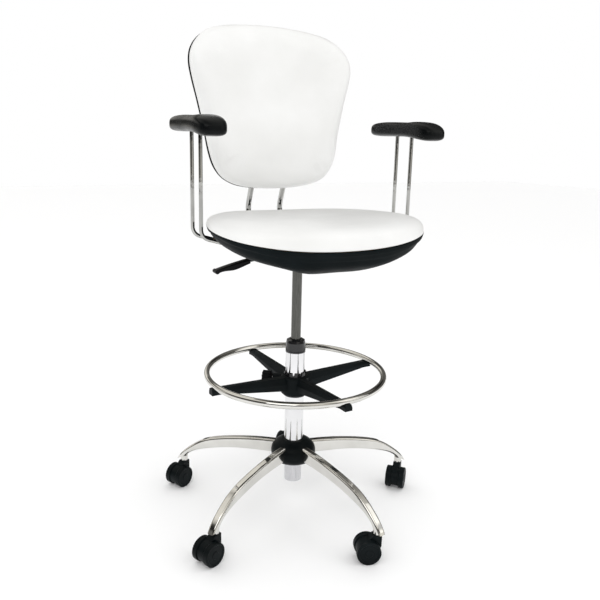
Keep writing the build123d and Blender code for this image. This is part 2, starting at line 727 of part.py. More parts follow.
with BuildPart() as handle_form:
    with BuildSketch(side_plane):
        with BuildLine():
            Spline(*handle_back)
            ThreePointArc(*handle_tip)
            Spline(*handle_belly)
            Line(handle_belly[-1], handle_back[0])
        make_face()
    extrude(amount=HANDLE_HALF_WIDTH, both=True)
    fillet(handle_form.edges().filter_by(GeomType.BSPLINE), HANDLE_EDGE_R)

with BuildPart() as lever_handle:
    add(handle_form.part)
    add(lever_rod.part, mode=Mode.SUBTRACT)
finish(lever_handle, "lever_handle")

# ---- Arms ---------------------------------------------------------------

BRACKET_TOP_Z = 818.5
BRACKET_INNER_X = 138.0
BRACKET_OUTER_X = 202.0
ROD_BEND_R = 26.0


def arm_rod(side, y):
    """One rod: down from the pad, round a bend and in under the seat."""
    route = [
        (side * ARM_X, y, ARM_ROD_TOP_Z),
        (side * ARM_X, y, 822),
        (side * 222, y, ARM_INNER_Z),
        (side * (BRACKET_INNER_X + 2), y, ARM_INNER_Z),
    ]
    with BuildPart() as rod:
        with BuildLine():
            FilletPolyline(*route, radius=ROD_BEND_R)
        with BuildSketch(Plane(origin=route[0], z_dir=(0, 0, -1))):
            Circle(ARM_ROD_R)
        sweep()
    return rod


rods = [arm_rod(side, y) for side in (-1, 1) for y in (ARM_REAR_Y, ARM_FRONT_Y)]

with BuildPart() as arm_rods:
    for rod in rods:
        add(rod.part)
finish(arm_rods, "arm_rods")

with BuildPart() as arm_brackets:
    for side in (-1, 1):
        middle_x = side * (BRACKET_INNER_X + BRACKET_OUTER_X) / 2
        with BuildSketch(Plane.XY.offset(BRACKET_BOTTOM_Z)):
            with Locations((middle_x, ARM_MIDDLE_Y)):
                RectangleRounded(BRACKET_OUTER_X - BRACKET_INNER_X, 96, 6)
        extrude(amount=BRACKET_TOP_Z - BRACKET_BOTTOM_Z)
    with BuildSketch(Plane.YZ.offset(-250)):
        with Locations((ARM_REAR_Y, ARM_INNER_Z), (ARM_FRONT_Y, ARM_INNER_Z)):
            Circle(ARM_ROD_R)
    extrude(amount=500, mode=Mode.SUBTRACT)
    with BuildSketch(Plane.XY.offset(BRACKET_BOTTOM_Z - 1)):
        with Locations(*[bolt[:2] for bolt in arm_bolts]):
            Circle(SCREW_R)
    extrude(amount=40, mode=Mode.SUBTRACT)
finish(arm_brackets, "arm_brackets")

INSERT_THICKNESS = 3.0

with BuildPart() as arm_inserts:
    for side in (-1, 1):
        with BuildSketch(Plane.XY.offset(ARM_ROD_TOP_Z)):
            with Locations((side * ARM_X, ARM_MIDDLE_Y)):
                RectangleRounded(34, 110, 8)
        extrude(amount=INSERT_THICKNESS)
finish(arm_inserts, "arm_inserts")

# arm pad stations from rear to front: y, half width, centre height, half height
PAD_STATIONS = [
    (96, 18, 1099, 10),
    (82, 31, 1100, 17),
    (30, 37, 1101, 20),
    (-40, 34, 1097, 18),
    (-100, 35, 1096, 18.5),
    (-150, 38, 1093, 21),
    (-178, 32, 1087, 18),
    (-190, 17, 1083, 10),
]

for side_name, side in (("left", 1), ("right", -1)):
    with BuildPart() as arm_pad:
        for y, half_width, height, half_height in PAD_STATIONS:
            with BuildSketch(Plane.XZ.offset(-y)):
                with Locations((side * ARM_X, height)):
                    Ellipse(half_width, half_height)
        loft()
        with BuildSketch(Plane.XY.offset(ARM_ROD_TOP_Z - 10)):
            with Locations((side * ARM_X, ARM_MIDDLE_Y)):
                RectangleRounded(35, 111, 8.5)
        extrude(amount=10 + INSERT_THICKNESS, mode=Mode.SUBTRACT)
    finish(arm_pad, f"arm_pad_{side_name}")

# ---- Backrest -----------------------------------------------------------


def back_y(x, z):
    """Plane between the back cushion and its board, curved round the sitter."""
    rise = (z - BACK_BOTTOM_Z) / (BACK_TOP_Z - BACK_BOTTOM_Z)
    return BACK_BOTTOM_Y + BACK_LEAN * rise - BACK_WRAP * (x / BACK_REF_X) ** 2


# right half of the backrest's outline from the top centre to the bottom centre
BACK_HALF_OUTLINE = [
    (0, 1386),
    (95, 1380.5),
    (165, 1366),
    (212, 1340),
    (240, 1305),
    (248, 1268),
    (242, 1226),
    (226, 1160),
    (209, 1080),
    (198, 1022),
    (182, 980),
    (150, 947),
    (95, 927.5),
    (0, 921),
]
left_half = [(-x, z) for x, z in reversed(BACK_HALF_OUTLINE[1:-1])]
BACK_OUTLINE = BACK_HALF_OUTLINE + left_half


def back_block(front, rear):
    """Curved slab between two offsets behind the back surface, larger than the back."""
    reach = 280.0
    with BuildPart() as block:
        for z in (BACK_BOTTOM_Z - 30, BACK_TOP_Z + 30):
            with BuildSketch(Plane.XY.offset(z)):
                with BuildLine():
                    near = [(x, back_y(x, z) + front) for x in (-reach, 0, reach)]
                    far = [(x, back_y(x, z) + rear) for x in (reach, 0, -reach)]
                    ThreePointArc(*near)
                    Line(near[-1], far[0])
                    ThreePointArc(*far)
                    Line(far[-1], near[0])
                make_face()
        loft()
    return block


def back_prism(inset):
    """The backrest's outline drawn in by inset, run through from front to rear."""
    middle_z = (BACK_BOTTOM_Z + BACK_TOP_Z) / 2
    half_height = (BACK_TOP_Z - BACK_BOTTOM_Z) / 2
    narrow = 1 - inset / BACK_REF_X
    shorten = 1 - inset / half_height
    outline = [(x * narrow, middle_z + (z - middle_z) * shorten) for x, z in BACK_OUTLINE]
    with BuildPart() as prism:
        with BuildSketch(Plane.XZ.offset(-400)):
            with BuildLine():
                Spline(*outline, periodic=True)
            make_face()
        extrude(amount=400)
    return prism


BACK_SCREWS = [(x, z) for x in (-POST_X, POST_X) for z in (1000, 1090)]
board_rear = SOFT_GAP + BACK_BOARD_THICKNESS
back_full = back_prism(0)
back_inner = back_prism(4)
back_inset = back_prism(14)
cushion_front = back_block(-BACK_CUSHION_THICKNESS, -BACK_CUSHION_THICKNESS / 2)
cushion_rear = back_block(-BACK_CUSHION_THICKNESS / 2, 0)
board_slab = back_block(SOFT_GAP, board_rear)
shell_slab = back_block(SOFT_GAP, BACK_SHELL_DEPTH)
pocket_slab = back_block(-5, board_rear + 0.7)

with BuildPart() as screw_holes:
    with BuildSketch(Plane.XZ.offset(-150)):
        for x, z in BACK_SCREWS:
            with Locations((x, z)):
                Circle(SCREW_R)
    extrude(amount=-150)

with BuildPart() as back_pocket:
    add(pocket_slab.part)
    add(back_inner.part, mode=Mode.INTERSECT)

with BuildPart() as back_shell:
    add(shell_slab.part)
    add(back_full.part, mode=Mode.INTERSECT)
    add(back_pocket.part, mode=Mode.SUBTRACT)
    add(screw_holes.part, mode=Mode.SUBTRACT)
finish(back_shell, "back_shell")

with BuildPart() as back_board:
    add(board_slab.part)
    add(back_inset.part, mode=Mode.INTERSECT)
    add(screw_holes.part, mode=Mode.SUBTRACT)
finish(back_board, "back_board")

with BuildPart() as back_cushion_rear:
    add(cushion_rear.part)
    add(back_full.part, mode=Mode.INTERSECT)

with BuildPart() as back_cushion_front:
    add(cushion_front.part)
    add(back_inset.part, mode=Mode.INTERSECT)

with BuildPart() as back_cushion:
    add(back_cushion_rear.part)
    add(back_cushion_front.part)
finish(back_cushion, "back_cushion")

POST_GAP = BACK_SHELL_DEPTH + POST_R + 1.2
post_route = [
    (70, POST_Z),
    (264, POST_Z),
    (back_y(POST_X, 935) + POST_GAP, 930),
    (back_y(POST_X, 1120) + POST_GAP, 1120),
]

with BuildPart() as back_posts:
    for x in (-POST_X, POST_X):
        route = [(x, y, z) for y, z in post_route]
        with BuildLine():
            FilletPolyline(*route, radius=46)
        with BuildSketch(Plane(origin=route[0], z_dir=(0, 1, 0))):
            Circle(POST_R)
        sweep()
    add(screw_holes.part, mode=Mode.SUBTRACT)
finish(back_posts, "back_posts")

with BuildPart() as back_screws:
    for x, z in BACK_SCREWS:
        head_y = back_y(x, z) + POST_GAP + POST_R + 1.3
        with BuildSketch(Plane.XZ.offset(-head_y)):
            with Locations((x, z)):
                Circle(5.5)
        extrude(amount=-3)
        with BuildSketch(Plane.XZ.offset(-head_y)):
            with Locations((x, z)):
                Circle(SCREW_R)
        extrude(amount=head_y - back_y(x, z) - 2)
finish(back_screws, "back_screws")

STRAP_THICKNESS = 3.4

with BuildPart() as back_bracket:
    with BuildSketch(Plane.XY.offset(STRAP_Z)):
        with Locations((0, 113)):
            RectangleRounded(170, 78, 8)
        with Locations(*[bolt[:2] for bolt in post_bolts]):
            Circle(SCREW_R, mode=Mode.SUBTRACT)
    extrude(amount=STRAP_THICKNESS)
finish(back_bracket, "back_bracket")
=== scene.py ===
import json
import math

import bmesh
import bpy
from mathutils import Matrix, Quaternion, Vector


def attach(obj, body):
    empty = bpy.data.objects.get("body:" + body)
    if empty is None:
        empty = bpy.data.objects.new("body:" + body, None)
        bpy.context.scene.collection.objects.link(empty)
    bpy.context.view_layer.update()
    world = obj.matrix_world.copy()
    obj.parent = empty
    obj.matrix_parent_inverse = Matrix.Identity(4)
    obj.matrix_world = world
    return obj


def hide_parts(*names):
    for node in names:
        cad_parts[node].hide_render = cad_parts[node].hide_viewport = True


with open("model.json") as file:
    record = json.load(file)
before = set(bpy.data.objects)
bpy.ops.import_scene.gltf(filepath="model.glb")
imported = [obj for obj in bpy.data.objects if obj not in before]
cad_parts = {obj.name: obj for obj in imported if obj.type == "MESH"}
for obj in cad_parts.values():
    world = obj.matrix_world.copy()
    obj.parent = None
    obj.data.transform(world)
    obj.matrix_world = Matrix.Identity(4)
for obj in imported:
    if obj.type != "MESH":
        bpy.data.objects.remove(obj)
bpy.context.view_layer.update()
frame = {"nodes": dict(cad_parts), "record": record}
nodes = frame["nodes"]

# Drafting chair. Metres, in the CAD frame: -Y is the front of the seat, +X the sitter's left.


def link(thing):
    bpy.context.scene.collection.objects.link(thing)


# ---- Camera and floor ----------------------------------------------------

CAMERA_PLACE = Vector((-0.8004, -1.6165, 1.0567))
CAMERA_FORWARD = Vector((0.4145, 0.8838, -0.2169))
CAMERA_ROLL = math.radians(1.1)
CAMERA_LENS = 39.42
CAMERA_SENSOR = 36
CAMERA_SHIFT = (0.0277, -0.0202)

FLOOR_REACH = 14
FLOOR_WHITE = 0.97
FLOOR_ROUGHNESS = 0.75


def make_camera():
    data = bpy.data.cameras.new("camera")
    data.sensor_width = CAMERA_SENSOR
    data.lens = CAMERA_LENS
    data.shift_x, data.shift_y = CAMERA_SHIFT
    camera = bpy.data.objects.new("camera", data)
    link(camera)
    aim = CAMERA_FORWARD.to_track_quat("-Z", "Y")
    roll = Quaternion(CAMERA_FORWARD.normalized(), -CAMERA_ROLL)
    camera.rotation_mode = "QUATERNION"
    camera.rotation_quaternion = roll @ aim
    camera.location = CAMERA_PLACE
    bpy.context.scene.camera = camera


def make_floor():
    mesh = bpy.data.meshes.new("floor")
    corners = [(FLOOR_REACH * x, FLOOR_REACH * y, 0) for x, y in ((-1, -1), (1, -1), (1, 1), (-1, 1))]
    mesh.from_pydata(corners, [], [(0, 1, 2, 3)])
    floor = bpy.data.objects.new("floor", mesh)
    link(floor)
    material = bpy.data.materials.new("floor")
    material.use_nodes = True
    shader = material.node_tree.nodes["Principled BSDF"]
    shader.inputs["Base Color"].default_value = (FLOOR_WHITE, FLOOR_WHITE, FLOOR_WHITE, 1)
    shader.inputs["Roughness"].default_value = FLOOR_ROUGHNESS
    mesh.materials.append(material)


# ---- Light ---------------------------------------------------------------

WORLD_STRENGTH = 1.07
STUDIO_TURN = math.radians(-25)
PANEL_TINT = (1, 0.985, 0.95)
# brightness of the studio that mirrors see: across from left to right, and up from floor to ceiling
PANELS_ACROSS = [
    (0.0, 0.14),
    (0.16, 0.2),
    (0.24, 1.0),
    (0.42, 1.0),
    (0.5, 0.5),
    (0.58, 1.0),
    (0.74, 0.95),
    (0.84, 0.18),
    (1.0, 0.12),
]
PANELS_UP = [
    (0.0, 1.0),
    (0.495, 0.9),
    (0.505, 0.05),
    (0.55, 0.09),
    (0.575, 1.0),
    (0.66, 0.95),
    (0.70, 0.12),
    (0.75, 0.16),
    (0.79, 1.0),
    (0.93, 0.95),
    (1.0, 0.4),
]


def area_light(name, place, aim, size, power):
    data = bpy.data.lights.new(name, "AREA")
    data.shape = "RECTANGLE"
    data.size, data.size_y = size
    data.energy = power
    light = bpy.data.objects.new(name, data)
    light.location = place
    direction = Vector(aim) - Vector(place)
    light.rotation_euler = direction.to_track_quat("-Z", "Y").to_euler()
    link(light)


def panel_ramp(tree, direction, axis, stops):
    """Brightness of the studio along one axis of a direction, which runs from -1 to 1."""
    spread = tree.nodes.new("ShaderNodeMapRange")
    ramp = tree.nodes.new("ShaderNodeValToRGB")
    spread.inputs["From Min"].default_value = -1
    tree.links.new(direction.outputs[axis], spread.inputs["Value"])
    tree.links.new(spread.outputs[0], ramp.inputs[0])
    while len(ramp.color_ramp.elements) < len(stops):
        ramp.color_ramp.elements.new(0.5)
    for element, (place, level) in zip(ramp.color_ramp.elements, stops):
        element.position = place
        element.color = (*(level * share for share in PANEL_TINT), 1)
    return ramp.outputs[0]


def white_background(tree, strength):
    node = tree.nodes.new("ShaderNodeBackground")
    node.inputs["Color"].default_value = (1, 1, 1, 1)
    node.inputs["Strength"].default_value = strength
    return node


def choice(tree, factor, first, second):
    """Shader that is first where factor is 0 and second where it is 1."""
    node = tree.nodes.new("ShaderNodeMixShader")
    tree.links.new(factor, node.inputs[0])
    tree.links.new(first.outputs[0], node.inputs[1])
    tree.links.new(second.outputs[0], node.inputs[2])
    return node


def make_world():
    """White studio with dark panels behind and above, which the chrome picks up."""
    world = bpy.data.worlds.new("studio")
    world.use_nodes = True
    tree = world.node_tree
    tree.nodes.clear()
    coords = tree.nodes.new("ShaderNodeTexCoord")
    turned = tree.nodes.new("ShaderNodeVectorRotate")
    direction = tree.nodes.new("ShaderNodeSeparateXYZ")
    panels = tree.nodes.new("ShaderNodeMix")
    path = tree.nodes.new("ShaderNodeLightPath")
    out = tree.nodes.new("ShaderNodeOutputWorld")
    turned.rotation_type = "Z_AXIS"
    turned.inputs["Angle"].default_value = STUDIO_TURN
    tree.links.new(coords.outputs["Generated"], turned.inputs["Vector"])
    tree.links.new(turned.outputs["Vector"], direction.inputs[0])
    panels.data_type = "RGBA"
    panels.blend_type = "MULTIPLY"
    panels.inputs["Factor"].default_value = 1
    tree.links.new(panel_ramp(tree, direction, "X", PANELS_ACROSS), panels.inputs["A"])
    tree.links.new(panel_ramp(tree, direction, "Z", PANELS_UP), panels.inputs["B"])
    mirrored = white_background(tree, 1)
    tree.links.new(panels.outputs["Result"], mirrored.inputs["Color"])
    lighting = choice(tree, path.outputs["Is Glossy Ray"], white_background(tree, WORLD_STRENGTH), mirrored)
    shown = choice(tree, path.outputs["Is Camera Ray"], lighting, white_background(tree, 1))
    tree.links.new(shown.outputs[0], out.inputs["Surface"])
    bpy.context.scene.world = world
    bpy.context.scene.view_settings.view_transform = "Standard"


make_camera()
make_floor()
make_world()
area_light("key", place=(-2.2, -2.4, 3.2), aim=(0, 0, 0.8), size=(2.4, 2.4), power=26)
area_light("fill", place=(2.6, -1.8, 2.2), aim=(0, 0, 0.7), size=(2.0, 2.6), power=10)

# ---- Materials -----------------------------------------------------------

# part of the noise's range over which a colour or a roughness changes
COLOUR_RANGE = (0.35, 0.65)
ROUGHNESS_RANGE = (0.3, 0.7)


class Finish:
    """A procedural material: a principled shader with noise for colour, roughness and bump."""

    def __init__(self, name, metallic=0.0):
        self.material = bpy.data.materials.new(name)
        self.material.use_nodes = True
        self.tree = self.material.node_tree
        self.shader = self.tree.nodes["Principled BSDF"]
        self.shader.inputs["Metallic"].default_value = metallic
        self.coords = self.tree.nodes.new("ShaderNodeTexCoord")
        self.height = None

    def set(self, **values):
        for key, value in values.items():
            self.shader.inputs[key.replace("_", " ")].default_value = value

    def mapped(self, stretch):
        node = self.tree.nodes.new("ShaderNodeMapping")
        node.inputs["Scale"].default_value = stretch
        self.tree.links.new(self.coords.outputs["Object"], node.inputs["Vector"])
        return node.outputs["Vector"]

    def noise(self, scale, detail=3.0, stretch=(1, 1, 1)):
        node = self.tree.nodes.new("ShaderNodeTexNoise")
        node.inputs["Scale"].default_value = scale
        node.inputs["Detail"].default_value = detail
        self.tree.links.new(self.mapped(stretch), node.inputs["Vector"])
        return node.outputs["Fac"]

    def cells(self, scale):
        """Height that rises from the borders of small cells to their middles."""
        node = self.tree.nodes.new("ShaderNodeTexVoronoi")
        node.feature = "DISTANCE_TO_EDGE"
        node.inputs["Scale"].default_value = scale
        self.tree.links.new(self.mapped((1, 1, 1)), node.inputs["Vector"])
        return node.outputs["Distance"]

    def colour(self, source, low, high):
        node = self.tree.nodes.new("ShaderNodeValToRGB")
        for element, place, colour in zip(node.color_ramp.elements, COLOUR_RANGE, (low, high)):
            element.position = place
            element.color = (*colour, 1)
        self.tree.links.new(source, node.inputs["Fac"])
        self.tree.links.new(node.outputs["Color"], self.shader.inputs["Base Color"])

    def roughness(self, source, low, high):
        node = self.tree.nodes.new("ShaderNodeMapRange")
        node.inputs["From Min"].default_value = ROUGHNESS_RANGE[0]
        node.inputs["From Max"].default_value = ROUGHNESS_RANGE[1]
        node.inputs["To Min"].default_value = low
        node.inputs["To Max"].default_value = high
        self.tree.links.new(source, node.inputs["Value"])
        self.tree.links.new(node.outputs[0], self.shader.inputs["Roughness"])

    def bump(self, source, strength, distance):
        """Adds one more layer of bump over those before it."""
        node = self.tree.nodes.new("ShaderNodeBump")
        node.inputs["Strength"].default_value = strength
        node.inputs["Distance"].default_value = distance
        self.tree.links.new(source, node.inputs["Height"])
        if self.height is not None:
            self.tree.links.new(self.height, node.inputs["Normal"])
        self.height = node.outputs["Normal"]
        self.tree.links.new(self.height, self.shader.inputs["Normal"])


def chrome(name, low=(0.66, 0.65, 0.62), high=(0.74, 0.73, 0.7)):
    finish = Finish(name, metallic=1.0)
    finish.colour(finish.noise(14), low, high)
    finish.roughness(finish.noise(9, 6), 0.02, 0.07)
    finish.bump(finish.noise(38, 2), 0.12, 0.002)
    finish.bump(finish.noise(900, 2), 0.03, 0.0002)
    return finish.material


def brushed(name, low, high, rough=(0.24, 0.36), stretch=(60, 60, 1)):
    """Steel with fine lines along Z, or without a direction where stretch is even."""
    finish = Finish(name, metallic=1.0)
    finish.colour(finish.noise(30, 5, stretch), low, high)
    finish.roughness(finish.noise(30, 4, stretch), *rough)
    finish.bump(finish.noise(40, 4, stretch), 0.12, 0.0002)
    return finish.material


def plastic(name, low, high, rough=(0.38, 0.52), grain=700.0, depth=0.25, gloss=0.09):
    finish = Finish(name)
    finish.set(Specular_IOR_Level=gloss)
    finish.colour(finish.noise(7, 5), low, high)
    finish.roughness(finish.noise(18, 5), *rough)
    finish.bump(finish.noise(grain, 2), depth, 0.0003)
    finish.bump(finish.noise(22, 3), 0.08, 0.0015)
    return finish.material


def painted(name, low, high):
    finish = Finish(name)
    finish.colour(finish.noise(20, 5), low, high)
    finish.roughness(finish.noise(40, 4), 0.35, 0.5)
    finish.bump(finish.noise(420, 3), 0.22, 0.0003)
    return finish.material


def vinyl(name):
    """White coated upholstery: a fine pebbled grain under a satin topcoat."""
    finish = Finish(name)
    finish.set(Specular_IOR_Level=0.42, Coat_Weight=0.12, Coat_Roughness=0.35)
    finish.colour(finish.noise(5, 6), (0.76, 0.76, 0.745), (0.82, 0.82, 0.81))
    finish.roughness(finish.noise(35, 5), 0.36, 0.5)
    finish.bump(finish.noise(30, 4), 0.06, 0.002)
    finish.bump(finish.cells(620), 0.16, 0.0004)
    finish.bump(finish.noise(1500, 2), 0.1, 0.0002)
    return finish.material


def foam_skin(name):
    """Black integral-skin foam of the arm pads."""
    finish = Finish(name)
    finish.set(Specular_IOR_Level=0.11)
    finish.colour(finish.noise(16, 5), (0.002, 0.0025, 0.003), (0.005, 0.006, 0.006))
    finish.roughness(finish.noise(24, 5), 0.2, 0.32)
    finish.bump(finish.cells(900), 0.1, 0.0003)
    finish.bump(finish.noise(60, 3), 0.08, 0.001)
    return finish.material


def plywood(name):
    finish = Finish(name)
    finish.colour(finish.noise(18, 6, (1, 1, 14)), (0.36, 0.23, 0.12), (0.6, 0.44, 0.27))
    finish.roughness(finish.noise(60, 4), 0.55, 0.75)
    finish.bump(finish.noise(90, 4, (1, 8, 8)), 0.2, 0.0005)
    return finish.material


NO_GRAIN = (1, 1, 1)
dark = ((0.002, 0.0035, 0.004), (0.005, 0.008, 0.009))
black = ((0.004, 0.004, 0.0045), (0.009, 0.009, 0.01))
matt_shell = {"rough": (0.45, 0.6), "grain": 1000, "depth": 0.28, "gloss": 0.06}
polished = {"rough": (0.1, 0.18), "grain": 1100, "depth": 0.06, "gloss": 0.6}

finishes = {
    "leg_chrome": chrome("leg_chrome"),
    "sleeve_chrome": chrome("sleeve_chrome", (0.74, 0.74, 0.75), (0.82, 0.82, 0.83)),
    "ring_chrome": chrome("ring_chrome"),
    "rod_chrome": chrome("rod_chrome", (0.4, 0.4, 0.39), (0.52, 0.52, 0.5)),
    "satin_tube": brushed("satin_tube", (0.6, 0.6, 0.62), (0.72, 0.72, 0.74)),
    "cylinder_grey": brushed("cylinder_grey", (0.07, 0.07, 0.065), (0.15, 0.15, 0.14), (0.2, 0.3)),
    "bearing_steel": brushed("bearing_steel", (0.45, 0.45, 0.47), (0.6, 0.6, 0.62)),
    "zinc_steel": brushed("zinc_steel", (0.5, 0.5, 0.5), (0.66, 0.66, 0.66), (0.3, 0.45), NO_GRAIN),
    "caster_steel": brushed("caster_steel", (0.6, 0.6, 0.6), (0.74, 0.74, 0.74), (0.2, 0.3), NO_GRAIN),
    "black_steel": painted("black_steel", *dark),
    "black_hub": plastic("black_hub", *dark, rough=(0.34, 0.48)),
    "black_collar": plastic("black_collar", *black, **polished),
    "caster_hood": plastic("caster_hood", *dark, rough=(0.32, 0.45)),
    "wheel_nylon": plastic("wheel_nylon", *dark, rough=(0.34, 0.5), grain=500),
    "bush_nylon": plastic("bush_nylon", (0.6, 0.59, 0.55), (0.7, 0.69, 0.65)),
    "liner_black": plastic("liner_black", *black, rough=(0.14, 0.24), gloss=0.5),
    "spider_black": plastic("spider_black", *dark, rough=(0.4, 0.55), grain=900, depth=0.3),
    "knob_black": plastic("knob_black", *black, rough=(0.3, 0.42)),
    "handle_black": plastic("handle_black", *black, rough=(0.3, 0.42)),
    "seat_shell_black": plastic("seat_shell_black", *dark, **matt_shell),
    "back_shell_black": plastic("back_shell_black", *dark, **matt_shell),
    "pad_black": foam_skin("pad_black"),
    "plywood": plywood("plywood"),
    "vinyl_white": vinyl("vinyl_white"),
}


def dress_cad_nodes():
    """Gives every carried-over CAD node the finish of its material slot."""
    for part in frame["record"]["subparts"]:
        node = nodes[part["node"]]
        if not node.material_slots:
            node.data.materials.append(finishes[part["material_slot"]])
        for held in node.material_slots:
            held.material = finishes[part["material_slot"]]


dress_cad_nodes()

# ---- Mesh helpers --------------------------------------------------------

PUFF_FRAMES = 20
PUFF_PRESSURE = 4.0
CLOTH_STIFFNESS = 30
CLOTH_SHEAR = 15
CLOTH_BENDING = 6

WELD_DISTANCE = 2e-5
SHARP_ANGLE = math.radians(40)


def face_outward(mesh):
    tidy = bmesh.new()
    tidy.from_mesh(mesh)
    bmesh.ops.recalc_face_normals(tidy, faces=tidy.faces)
    tidy.to_mesh(mesh)
    tidy.free()


def smooth_shade(mesh):
    for face in mesh.polygons:
        face.use_smooth = True


def new_piece(name, verts, faces, slot):
    mesh = bpy.data.meshes.new(name)
    mesh.from_pydata(verts, [], faces)
    mesh.validate()
    face_outward(mesh)
    smooth_shade(mesh)
    mesh.materials.append(finishes[slot])
    piece = bpy.data.objects.new(name, mesh)
    link(piece)
    return piece


def apply_modifiers(piece):
    depsgraph = bpy.context.evaluated_depsgraph_get()
    baked = bpy.data.meshes.new_from_object(piece.evaluated_get(depsgraph))
    piece.modifiers.clear()
    piece.data = baked


def subdivide(piece, levels):
    modifier = piece.modifiers.new("smooth", "SUBSURF")
    modifier.levels = levels
    modifier.render_levels = levels
    apply_modifiers(piece)
    smooth_shade(piece.data)


def full_turn(count):
    return [2 * math.pi * step / count for step in range(count)]


def signed_power(value, power):
    return math.copysign(abs(value) ** power, value)


def between(a, b, c, d, t):
    """Catmull-Rom point from b, where t is 0, to c, where t is 1."""
    point = 0.5 * (2 * b + (c - a) * t + (2 * a - 5 * b + 4 * c - d) * t**2)
    return point + 0.5 * (3 * b - a - 3 * c + d) * t**3


def open_rings(rings):
    """Points and faces that join rings of equal length into an open tube."""
    count = len(rings[0])
    verts = [point for ring in rings for point in ring]
    faces = []
    for level in range(len(rings) - 1):
        for step in range(count):
            near = level * count + step
            near_next = level * count + (step + 1) % count
            faces.append((near, near_next, near_next + count, near + count))
    return verts, faces


def closed_rings(rings):
    """The same tube, capped at both ends round a middle point."""
    verts, faces = open_rings(rings)
    count = len(rings[0])
    start = len(verts)
    verts.append(tuple(sum(axis) / count for axis in zip(*rings[0])))
    verts.append(tuple(sum(axis) / count for axis in zip(*rings[-1])))
    last = (len(rings) - 1) * count
    for step in range(count):
        faces.append((start, (step + 1) % count, step))
        faces.append((start + 1, last + step, last + (step + 1) % count))
    return verts, faces


def puff(piece, travel, held, keep):
    """Swells a cushion with cloth pressure, with the vertices in held fixed. No point moves
    further than travel, and keep(point) returns where a moved point may be."""
    rest = [vertex.co.copy() for vertex in piece.data.vertices]
    seam = piece.vertex_groups.new(name="seam")
    seam.add(held, 1.0, "REPLACE")
    cloth = piece.modifiers.new("cloth", "CLOTH")
    cloth.settings.quality = 5
    cloth.settings.vertex_group_mass = "seam"
    cloth.settings.use_pressure = True
    cloth.settings.uniform_pressure_force = PUFF_PRESSURE
    cloth.settings.effector_weights.gravity = 0
    cloth.settings.tension_stiffness = CLOTH_STIFFNESS
    cloth.settings.compression_stiffness = CLOTH_STIFFNESS
    cloth.settings.shear_stiffness = CLOTH_SHEAR
    cloth.settings.bending_stiffness = CLOTH_BENDING
    cloth.point_cache.frame_start = 1
    cloth.point_cache.frame_end = PUFF_FRAMES
    for number in range(1, PUFF_FRAMES + 1):
        bpy.context.scene.frame_set(number)
    apply_modifiers(piece)
    bpy.context.scene.frame_set(1)
    for vertex, start in zip(piece.data.vertices, rest):
        move = vertex.co - start
        if move.length > travel:
            move *= travel / move.length
        vertex.co = keep(start + move)
    subdivide(piece, 1)


def prism(outline, along, start, end):
    """Closed prism: an outline of two coordinates, run along the third axis from start to end."""
    verts = []
    for place in (start, end):
        for point in outline:
            corner = list(point)
            corner.insert(along, place)
            verts.append(tuple(corner))
    count = len(outline)
    faces = [tuple(range(count)), tuple(range(count, 2 * count))]
    for step in range(count):
        following = (step + 1) % count
        faces.append((step, following, following + count, step + count))
    return verts, faces


def circle(centre, radius, count=32):
    return [
        (centre[0] + radius * math.cos(turn), centre[1] + radius * math.sin(turn))
        for turn in full_turn(count)
    ]


def rounded_box(low, high, radius, per_corner=6):
    """Outline of a rectangle with round corners."""
    points = []
    corners = ((high[0], high[1]), (low[0], high[1]), (low[0], low[1]), (high[0], low[1]))
    for quarter, (x, y) in enumerate(corners):
        centre_x = x - radius if quarter in (0, 3) else x + radius
        centre_y = y - radius if quarter in (0, 1) else y + radius
        for step in range(per_corner + 1):
            turn = math.pi / 2 * (quarter + step / per_corner)
            points.append((centre_x + radius * math.cos(turn), centre_y + radius * math.sin(turn)))
    return points


def keep_largest(piece):
    """Keep the largest connected part of the mesh and drop any scraps beside it."""
    mesh = bmesh.new()
    mesh.from_mesh(piece.data)
    bmesh.ops.remove_doubles(mesh, verts=mesh.verts, dist=WELD_DISTANCE)
    waiting = set(mesh.verts)
    parts = []
    while waiting:
        reached = [waiting.pop()]
        part = set(reached)
        while reached:
            for edge in reached.pop().link_edges:
                found = waiting.intersection(edge.verts)
                waiting -= found
                part |= found
                reached.extend(found)
        parts.append(part)
    largest = max(parts, key=len)
    scraps = [vert for part in parts if part is not largest for vert in part]
    bmesh.ops.delete(mesh, geom=scraps, context="VERTS")
    mesh.to_mesh(piece.data)
    mesh.free()


def cut(piece, solids):
    """Takes solids away from a piece and keeps the edges that this leaves sharp."""
    for verts, faces in solids:
        mesh = bpy.data.meshes.new("cutter")
        mesh.from_pydata(verts, [], faces)
        face_outward(mesh)
        cutter = bpy.data.objects.new("cutter", mesh)
        link(cutter)
        taken = piece.modifiers.new("cut", "BOOLEAN")
        taken.operation = "DIFFERENCE"
        taken.solver = "EXACT"
        taken.object = cutter
        apply_modifiers(piece)
        bpy.data.objects.remove(cutter)
    keep_largest(piece)
    edges = piece.modifiers.new("edges", "EDGE_SPLIT")
    edges.split_angle = SHARP_ANGLE
    apply_modifiers(piece)


# ---- Seat cushion --------------------------------------------------------

SEAT_HALF_WIDTH = 0.280
SEAT_HALF_DEPTH = 0.2368
SEAT_CENTRE_Y = -0.0446
SEAT_POWER = 2.5
SEAT_TAPER = 0.24
SEAM_GAP = 0.0008

# seam between the cushion and the shell
SEAM_Z = 0.8327
SEAM_SLOPE = 0.042
SEAM_SIDE_RISE = 0.0182
SEAM_FRONT_FALL = 0.013

